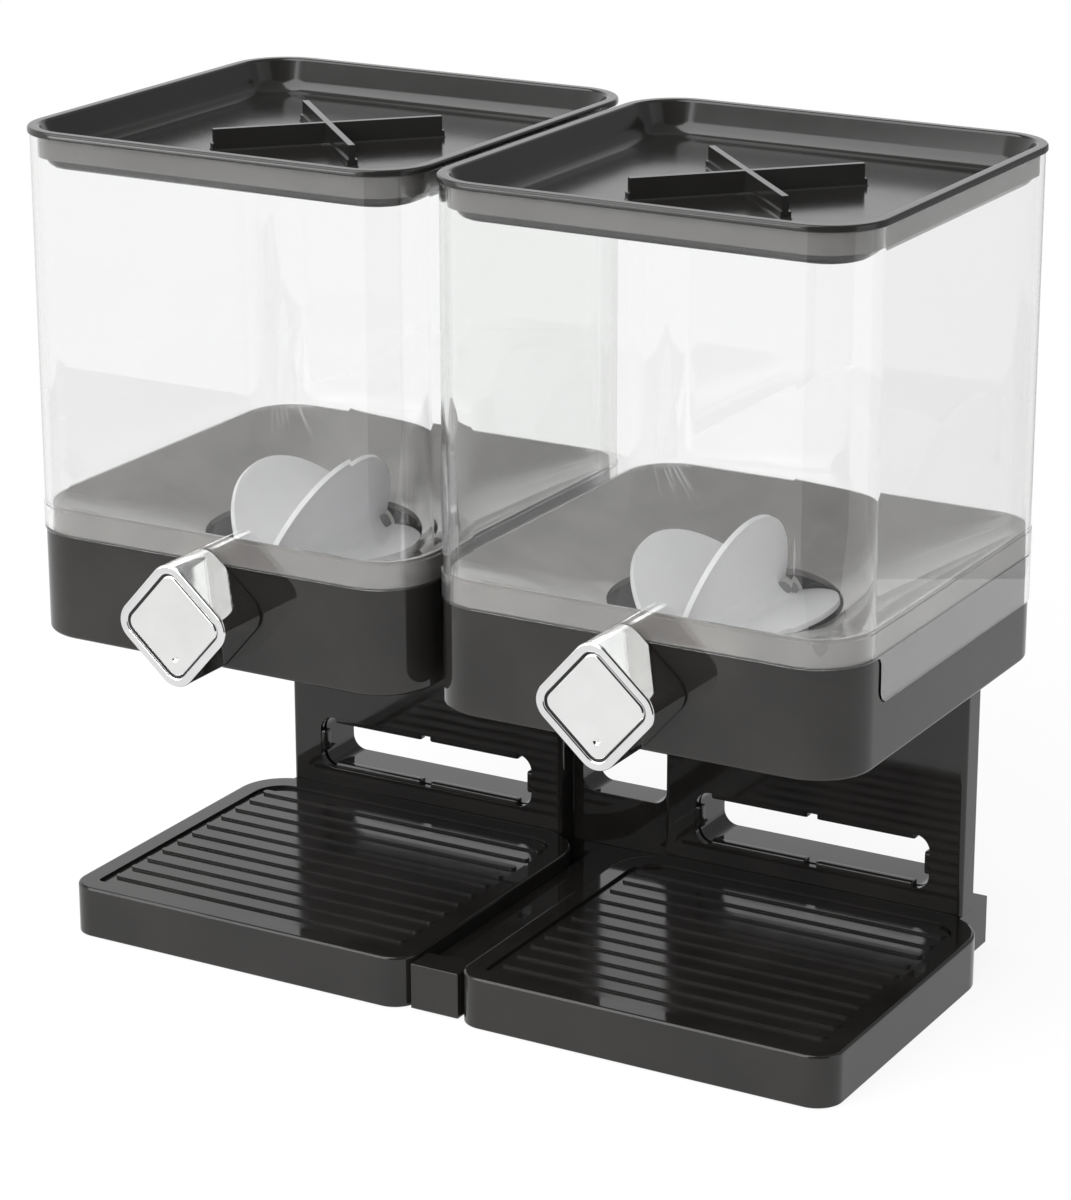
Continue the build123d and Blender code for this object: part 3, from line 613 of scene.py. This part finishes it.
def add_rails(side):
    """The rails of one column's slot, as a piece of the scene alone."""
    low, high, mid, size = millimetres(f"{side}_column")
    half = size.x / 2 - SLOT_MARGIN
    bottom = low.z + SLOT_RISE
    top = bottom + SLOT_HEIGHT
    front, back = low.y + RAIL_FRONT, low.y + RAIL_BACK
    bm = bmesh.new()
    for start, end in ((MIDDLE_GAP / 2, half - CORNER_GAP), (CORNER_GAP - half, -MIDDLE_GAP / 2)):
        for inner, outer in ((bottom + RAIL_REACH, bottom - RAIL_ROOT), (top - RAIL_REACH, top + RAIL_ROOT)):
            add_bar(bm, (mid.x + start, front, min(inner, outer)), (mid.x + end, back, max(inner, outer)))
    for sign in (-1, 1):
        first, last = sorted((mid.x + sign * (half - RAIL_REACH), mid.x + sign * (half + RAIL_ROOT)))
        add_bar(bm, (first, front, bottom + CORNER_GAP), (last, back, top - CORNER_GAP))
    bmesh.ops.recalc_face_normals(bm, faces=bm.faces)
    obj = new_piece(bm, f"{side}_slot_rails", f"{side}_column", stands_in=False)
    soften(obj, width=1.1, segments=4, angle=34)


# Centre panel: its opening is taller than its solid's, because the photo's tray mirrors it up to the rim

PANEL_SLOT_MIDDLE, PANEL_SLOT_TOP, PANEL_SHELL = 31.5, 43.7, 2.5


def heighten(bm):
    """Lifts the upper edge of the panel's opening to just below the panel's top."""
    low, high, mid, size = millimetres("centre_panel")
    stretch = size.z - PANEL_SLOT_TOP - 2 * PANEL_SHELL
    for vert in bm.verts:
        level = vert.co.z / MM - low.z
        aside = abs(vert.co.x / MM - mid.x)
        if PANEL_SLOT_MIDDLE < level < PANEL_SLOT_TOP + 0.1 and aside < size.x / 2 - 1.0:
            vert.co.z += stretch * MM


# All pieces: those made above, and the other solids with so many millimetres of rounding

EDGES = {"housing": 0.35, "hopper": 0.35, "bowl": 0.4, "column": 0.45, "column_cover": 0.45, "foot": 0.3,
         "canister": 0.25, "paddle_wheel": 0.7, "front_bush": 0.25, "rear_bush": 0.25, "drive_shaft": 0.2,
         "shaft_clip": 0.15, "wheel_hub": 0.25, "knob_core": 0.25}
for side in SIDES:
    dress_lid(f"{side}_lid")
    dress_knob_shell(f"{side}_knob_shell")
    dress_knob_face(f"{side}_knob_face")
    add_rails(side)
    dress_solid(f"{side}_crumb_tray", 0.32, segments=3)
    for kind, width in EDGES.items():
        dress_solid(f"{side}_{kind}", width)
dress_solid("centre_panel", 0.4, reshape=heighten)
dress_solid("centre_bridge", 0.4)
dress_solid("rubber_feet", 0.5)
dress_screws("cover_screws", head_at_back=True)
dress_screws("housing_screws", head_at_back=False)


# Stage: a white room and floor. Mirrors see the room darker high up, and the floor a little darker

ROOM_LIGHT = 0.5
MIRRORED_LOW, MIRRORED_HIGH, LOW_END, HIGH_START = 1.0, 0.25, 0.36, 0.60
PAPER, MIRRORED_FLOOR = (0.93, 0.93, 0.93, 1.0), 0.8
NEAR_GLOW, NEAR, FAR = 0.88, 0.35, 0.95     # near the object the floor glows less, so its shadow shows
FLOOR_HALF = 4.0


def seen_by(tree, value, *kinds):
    """A value that is at least 1 for rays of these kinds."""
    path = tree.nodes.new("ShaderNodeLightPath")
    for kind in kinds:
        value = node_math(tree, "MAXIMUM", value, path.outputs[f"Is {kind} Ray"])
    return value


def changed_in_mirrors(tree, value, change):
    """A value with a change added for glossy rays."""
    path = tree.nodes.new("ShaderNodeLightPath")
    return node_math(tree, "MULTIPLY_ADD", path.outputs["Is Glossy Ray"], change, value)


def make_room():
    world = bpy.data.worlds.new("room")
    world.use_nodes = True
    tree = world.node_tree
    change = spread(tree, height_of(tree, "Generated"), MIRRORED_LOW - ROOM_LIGHT, MIRRORED_HIGH - ROOM_LIGHT,
                    LOW_END, HIGH_START)
    strength = seen_by(tree, changed_in_mirrors(tree, ROOM_LIGHT, change), "Camera", "Transmission")
    sky = tree.nodes["Background"]
    sky.inputs["Color"].default_value = (1.0, 1.0, 1.0, 1.0)
    tree.links.new(strength, sky.inputs["Strength"])
    return world


def make_floor():
    """White paper that keeps a shadow, and glows for camera, transmission and glossy rays."""
    mat = bpy.data.materials.new("floor_white")
    mat.use_nodes = True
    tree = mat.node_tree
    tree.nodes.remove(tree.nodes["Principled BSDF"])
    paper = tree.nodes.new("ShaderNodeBsdfDiffuse")
    paper.inputs["Color"].default_value = PAPER
    glow = tree.nodes.new("ShaderNodeEmission")
    strength = seen_by(tree, changed_in_mirrors(tree, 1.0, MIRRORED_FLOOR - 1.0), "Transmission")
    tree.links.new(strength, glow.inputs["Strength"])
    spot = tree.nodes.new("ShaderNodeTexCoord")
    away = tree.nodes.new("ShaderNodeVectorMath")
    away.operation = "LENGTH"
    tree.links.new(spot.outputs["Object"], away.inputs[0])
    whiteness = spread(tree, away.outputs["Value"], NEAR_GLOW, 1.0, NEAR, FAR)
    seen = seen_by(tree, 0.0, "Camera", "Transmission", "Glossy")
    blend = tree.nodes.new("ShaderNodeMixShader")
    tree.links.new(node_math(tree, "MULTIPLY", seen, whiteness), blend.inputs["Fac"])
    tree.links.new(paper.outputs["BSDF"], blend.inputs[1])
    tree.links.new(glow.outputs["Emission"], blend.inputs[2])
    tree.links.new(blend.outputs["Shader"], tree.nodes["Material Output"].inputs["Surface"])
    return mat


def flat_sheet(name, corners, mat):
    """One flat face that belongs to the stage."""
    mesh = bpy.data.meshes.new(name)
    mesh.from_pydata([Vector(corner) for corner in corners], [], [tuple(range(len(corners)))])
    mesh.materials.append(mat)
    obj = bpy.data.objects.new(name, mesh)
    scene.collection.objects.link(obj)
    return obj


scene.world = make_room()
floor_corners = [(x * FLOOR_HALF, y * FLOOR_HALF, 0) for x, y in ((-1, -1), (1, -1), (1, 1), (-1, 1))]
flat_sheet("floor", floor_corners, make_floor())


# Lamps: two for plain light, and two strips that only draw highlights along edges

LAMP_WATTS = 4.0      # to the square metre, for a radiance of 1


def softbox(name, spot, target, width, height, radiance, mirrored=True, edges_only=False):
    """A soft rectangular lamp that the camera doesn't see."""
    data = bpy.data.lights.new(name, "AREA")
    data.shape = "RECTANGLE"
    data.size = width
    data.size_y = height
    data.energy = radiance * LAMP_WATTS * width * height
    lamp = bpy.data.objects.new(name, data)
    lamp.location = spot
    lamp.rotation_euler = (Vector(target) - Vector(spot)).to_track_quat("-Z", "Y").to_euler()
    lamp.visible_camera = False
    lamp.visible_glossy = mirrored
    lamp.visible_diffuse = lamp.visible_transmission = not edges_only
    scene.collection.objects.link(lamp)


softbox("top_light", (-0.5, -0.5, 1.5), (0, 0, 0.1), 1.6, 1.2, radiance=2.6)
softbox("front_light", (-0.1, -1.5, 1.0), (-0.1, 0.0, 0.3), 3.0, 1.0, radiance=3.9, mirrored=False)
softbox("low_strip", (-0.40, -0.72, 0.22), (0.10, 0.15, 0.22), 0.6, 0.08, radiance=7.0, edges_only=True)
softbox("high_strip", (-0.40, -0.72, 0.58), (0.10, 0.15, 0.30), 0.8, 0.14, radiance=5.0, edges_only=True)


# Cards: a dark flag in front and a grey card at the side, which only mirrors see

YAW, PITCH, ROLL = radians(29.73), radians(90 - 18.33), radians(0.09)
AHEAD = Vector((sin(YAW), -cos(YAW), 0))
ACROSS = Vector((cos(YAW), sin(YAW), 0))
GREY_GLOW = 0.35


def card(name, middle, along, half_width, height, mat):
    """An upright sheet on the floor, unseen but for its reflections."""
    corners = [middle - along * half_width, middle + along * half_width]
    corners += [corner + Vector((0, 0, height)) for corner in reversed(corners)]
    obj = flat_sheet(name, corners, mat)
    for ray in ("camera", "diffuse", "transmission", "volume_scatter", "shadow"):
        setattr(obj, f"visible_{ray}", False)


flag_black = make_matte("flag_black", (0.004, 0.004, 0.004), (0.005, 0.005, 0.005), 0.9)
card("flag", AHEAD * 0.62 + ACROSS * 0.15, ACROSS, half_width=0.45, height=1.2, mat=flag_black)
card_grey, grey_tree = principled("card_grey", (0, 0, 0), 0.5)
shader_input(grey_tree, "Specular IOR Level").default_value = 0.0
shader_input(grey_tree, "Emission Color").default_value = (1, 1, 1, 1)
shader_input(grey_tree, "Emission Strength").default_value = GREY_GLOW
side_along = Vector((cos(YAW), -sin(YAW), 0))
card("side_card", Vector((0.43, 0.47, 0.0)), side_along, half_width=0.45, height=0.7, mat=card_grey)


# Camera: fitted to the photo's corners, with no shift

SENSOR, LENS = 36.0, 116.0
CAMERA_SPOT = (0.6673, -1.1543, 0.5823)
camera_data = bpy.data.cameras.new("camera")
camera_data.sensor_width = SENSOR
camera_data.lens = LENS
camera = bpy.data.objects.new("camera", camera_data)
camera.location = CAMERA_SPOT
camera.rotation_euler = Euler((PITCH, ROLL, YAW))
scene.collection.objects.link(camera)
scene.camera = camera

scene.view_settings.view_transform = "Standard"

bpy.context.view_layer.update()
